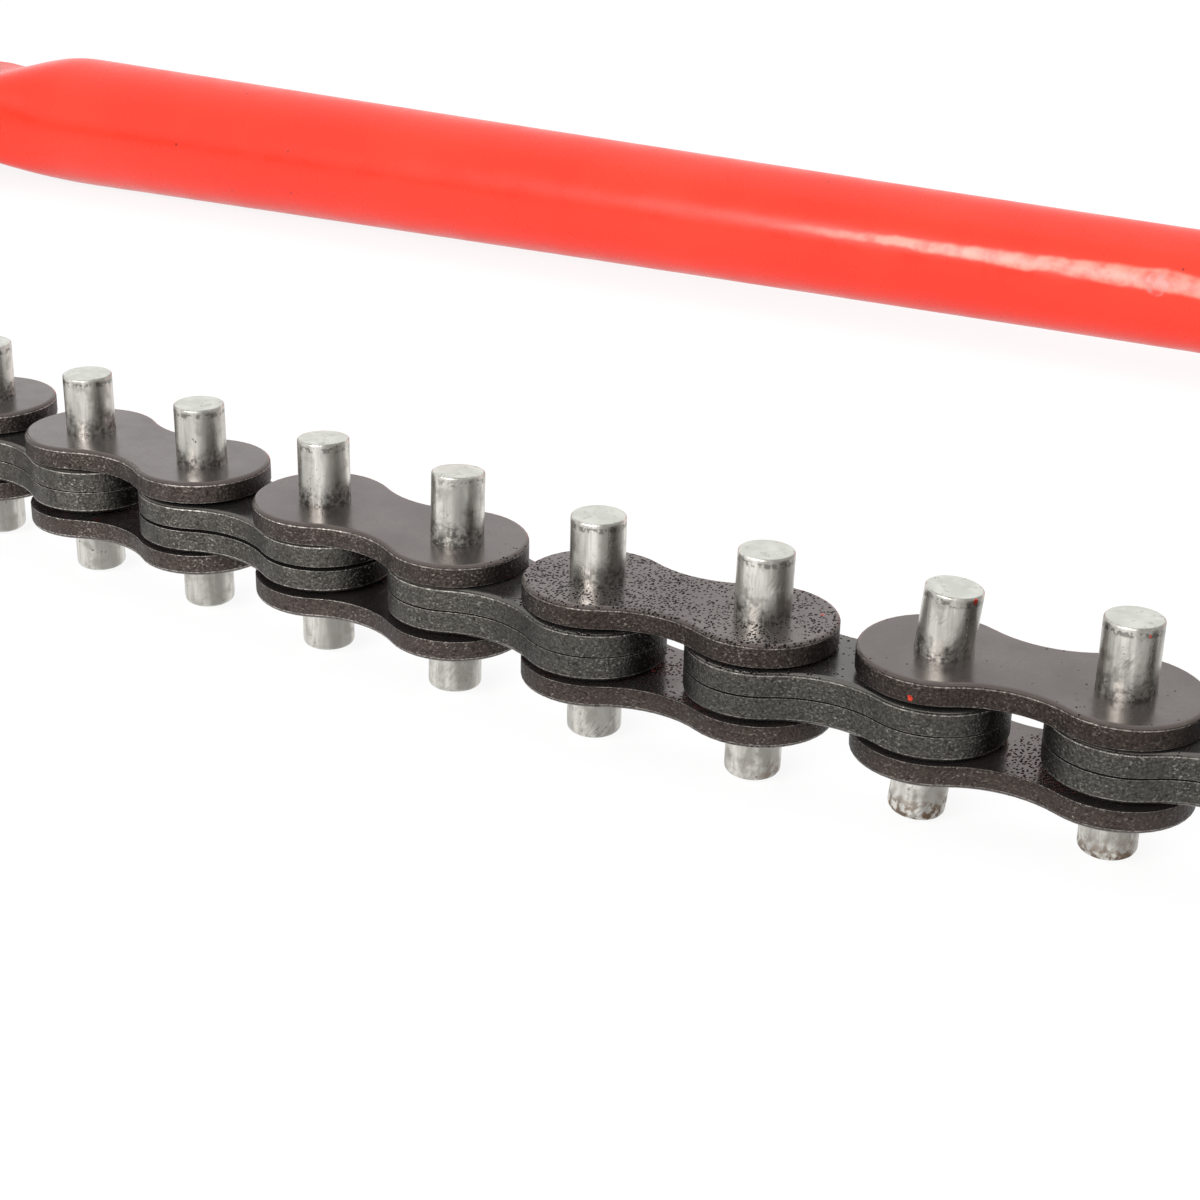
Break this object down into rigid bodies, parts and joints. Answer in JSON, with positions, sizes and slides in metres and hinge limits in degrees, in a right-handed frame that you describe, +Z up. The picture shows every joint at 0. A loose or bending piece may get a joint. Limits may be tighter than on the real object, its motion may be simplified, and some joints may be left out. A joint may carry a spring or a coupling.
{
  "type": "chain pipe wrench",
  "caption": "Chain pipe wrench: round tapered handle, toothed two-way jaws and a shackled leaf chain whose long cross pins hook into the jaw notches.",
  "frame": {"origin": "on the lower jaw's flat outer face, between the anchor pin and the first jaw bolt, on the wrench's centre line", "axes": "+X along the handle from the jaws to its free end, +Z up out of the flat face that the wrench lies on, the chain laid on the -Y side"},
  "size_m": [0.9365, 0.2765, 0.0468],
  "materials": {
    "red_paint": "glossy red enamel over forged steel",
    "forged_jaw": "dark oxidised forging with bright worn teeth",
    "forged_shackle": "dark oxidised forging",
    "outer_plate": "satin warm brown-grey steel, pitted, with rough sheared edges",
    "inner_plate": "dark neutral grey steel with glittering sheared edges",
    "zinc_pin": "bright zinc with streaks and smudges",
    "zinc_fastener": "zinc-plated steel"
  },
  "bodies": {
    "head": {"handle": "red_paint", "jaw_upper": "forged_jaw", "jaw_lower": "forged_jaw", "jaw_bolt_1": "zinc_fastener", "jaw_bolt_2": "zinc_fastener", "jaw_nut_1": "zinc_fastener", "jaw_nut_2": "zinc_fastener", "anchor_pin": "zinc_fastener"},
    "shackle": {"shackle": "forged_shackle"},
    "link_01": {"outer_plate_upper_01": "outer_plate", "outer_plate_lower_01": "outer_plate", "pin_00": "zinc_pin", "pin_01": "zinc_pin"},
    "link_02": {"inner_plates_02": "inner_plate"},
    "link_03": {"outer_plate_upper_03": "outer_plate", "outer_plate_lower_03": "outer_plate", "pin_02": "zinc_pin", "pin_03": "zinc_pin"},
    "link_04": {"inner_plates_04": "inner_plate"},
    "link_05": {"outer_plate_upper_05": "outer_plate", "outer_plate_lower_05": "outer_plate", "pin_04": "zinc_pin", "pin_05": "zinc_pin"},
    "link_06": {"inner_plates_06": "inner_plate"},
    "link_07": {"outer_plate_upper_07": "outer_plate", "outer_plate_lower_07": "outer_plate", "pin_06": "zinc_pin", "pin_07": "zinc_pin"},
    "link_08": {"inner_plates_08": "inner_plate"},
    "link_09": {"outer_plate_upper_09": "outer_plate", "outer_plate_lower_09": "outer_plate", "pin_08": "zinc_pin", "pin_09": "zinc_pin"},
    "link_10": {"inner_plates_10": "inner_plate"},
    "link_11": {"outer_plate_upper_11": "outer_plate", "outer_plate_lower_11": "outer_plate", "pin_10": "zinc_pin", "pin_11": "zinc_pin"},
    "link_12": {"inner_plates_12": "inner_plate"},
    "link_13": {"outer_plate_upper_13": "outer_plate", "outer_plate_lower_13": "outer_plate", "pin_12": "zinc_pin", "pin_13": "zinc_pin"},
    "link_14": {"inner_plates_14": "inner_plate"},
    "link_15": {"outer_plate_upper_15": "outer_plate", "outer_plate_lower_15": "outer_plate", "pin_14": "zinc_pin", "pin_15": "zinc_pin"},
    "link_16": {"inner_plates_16": "inner_plate"},
    "link_17": {"outer_plate_upper_17": "outer_plate", "outer_plate_lower_17": "outer_plate", "pin_16": "zinc_pin", "pin_17": "zinc_pin"},
    "link_18": {"inner_plates_18": "inner_plate"},
    "link_19": {"outer_plate_upper_19": "outer_plate", "outer_plate_lower_19": "outer_plate", "pin_18": "zinc_pin", "pin_19": "zinc_pin"},
    "link_20": {"inner_plates_20": "inner_plate", "pin_20": "zinc_pin"}
  },
  "joints": [
    {"name": "shackle_swing", "type": "hinge", "parent": "head", "child": "shackle", "pos_m": [-0.016, 0, 0.017], "axis": [0, 0, 1], "range_deg": [-195, 6]},
    {"name": "link_01_hinge", "type": "hinge", "parent": "shackle", "child": "link_01", "pos_m": [0.0141, -0.0676, 0.017], "axis": [0, 0, -1], "range_deg": [-20, 65]},
    {"name": "link_02_hinge", "type": "hinge", "parent": "link_01", "child": "link_02", "pos_m": [0.03076, -0.08677, 0.017], "axis": [0, 0, 1], "range_deg": [-65, 21]},
    {"name": "link_03_hinge", "type": "hinge", "parent": "link_02", "child": "link_03", "pos_m": [0.04825, -0.1052, 0.017], "axis": [0, 0, -1], "range_deg": [-22, 65]},
    {"name": "link_04_hinge", "type": "hinge", "parent": "link_03", "child": "link_04", "pos_m": [0.06667, -0.12268, 0.017], "axis": [0, 0, 1], "range_deg": [-65, 24]},
    {"name": "link_05_hinge", "type": "hinge", "parent": "link_04", "child": "link_05", "pos_m": [0.08613, -0.13901, 0.017], "axis": [0, 0, -1], "range_deg": [-25, 65]},
    {"name": "link_06_hinge", "type": "hinge", "parent": "link_05", "child": "link_06", "pos_m": [0.10668, -0.15394, 0.017], "axis": [0, 0, 1], "range_deg": [-65, 27]},
    {"name": "link_07_hinge", "type": "hinge", "parent": "link_06", "child": "link_07", "pos_m": [0.12845, -0.16702, 0.017], "axis": [0, 0, -1], "range_deg": [-29, 65]},
    {"name": "link_08_hinge", "type": "hinge", "parent": "link_07", "child": "link_08", "pos_m": [0.15128, -0.17815, 0.017], "axis": [0, 0, 1], "range_deg": [-65, 32]},
    {"name": "link_09_hinge", "type": "hinge", "parent": "link_08", "child": "link_09", "pos_m": [0.17491, -0.18746, 0.017], "axis": [0, 0, -1], "range_deg": [-35, 65]},
    {"name": "link_10_hinge", "type": "hinge", "parent": "link_09", "child": "link_10", "pos_m": [0.1992, -0.19489, 0.017], "axis": [0, 0, 1], "range_deg": [-65, 39]},
    {"name": "link_11_hinge", "type": "hinge", "parent": "link_10", "child": "link_11", "pos_m": [0.22385, -0.20103, 0.017], "axis": [0, 0, -1], "range_deg": [-45, 105]},
    {"name": "link_12_hinge", "type": "hinge", "parent": "link_11", "child": "link_12", "pos_m": [0.24869, -0.20631, 0.017], "axis": [0, 0, 1], "range_deg": [-105, 52]},
    {"name": "link_13_hinge", "type": "hinge", "parent": "link_12", "child": "link_13", "pos_m": [0.27378, -0.21029, 0.017], "axis": [0, 0, -1], "range_deg": [-65, 105]},
    {"name": "link_14_hinge", "type": "hinge", "parent": "link_13", "child": "link_14", "pos_m": [0.29896, -0.2136, 0.017], "axis": [0, 0, 1], "range_deg": [-105, 105]},
    {"name": "link_15_hinge", "type": "hinge", "parent": "link_14", "child": "link_15", "pos_m": [0.32422, -0.21626, 0.017], "axis": [0, 0, -1], "range_deg": [-105, 105]},
    {"name": "link_16_hinge", "type": "hinge", "parent": "link_15", "child": "link_16", "pos_m": [0.34953, -0.21847, 0.017], "axis": [0, 0, 1], "range_deg": [-105, 105]},
    {"name": "link_17_hinge", "type": "hinge", "parent": "link_16", "child": "link_17", "pos_m": [0.37471, -0.22179, 0.017], "axis": [0, 0, -1], "range_deg": [-105, 105]},
    {"name": "link_18_hinge", "type": "hinge", "parent": "link_17", "child": "link_18", "pos_m": [0.4001, -0.22112, 0.017], "axis": [0, 0, 1], "range_deg": [-105, 105]},
    {"name": "link_19_hinge", "type": "hinge", "parent": "link_18", "child": "link_19", "pos_m": [0.42545, -0.21957, 0.017], "axis": [0, 0, -1], "range_deg": [-105, 105]},
    {"name": "link_20_hinge", "type": "hinge", "parent": "link_19", "child": "link_20", "pos_m": [0.45082, -0.21824, 0.017], "axis": [0, 0, 1], "range_deg": [-105, 105]}
  ]
}
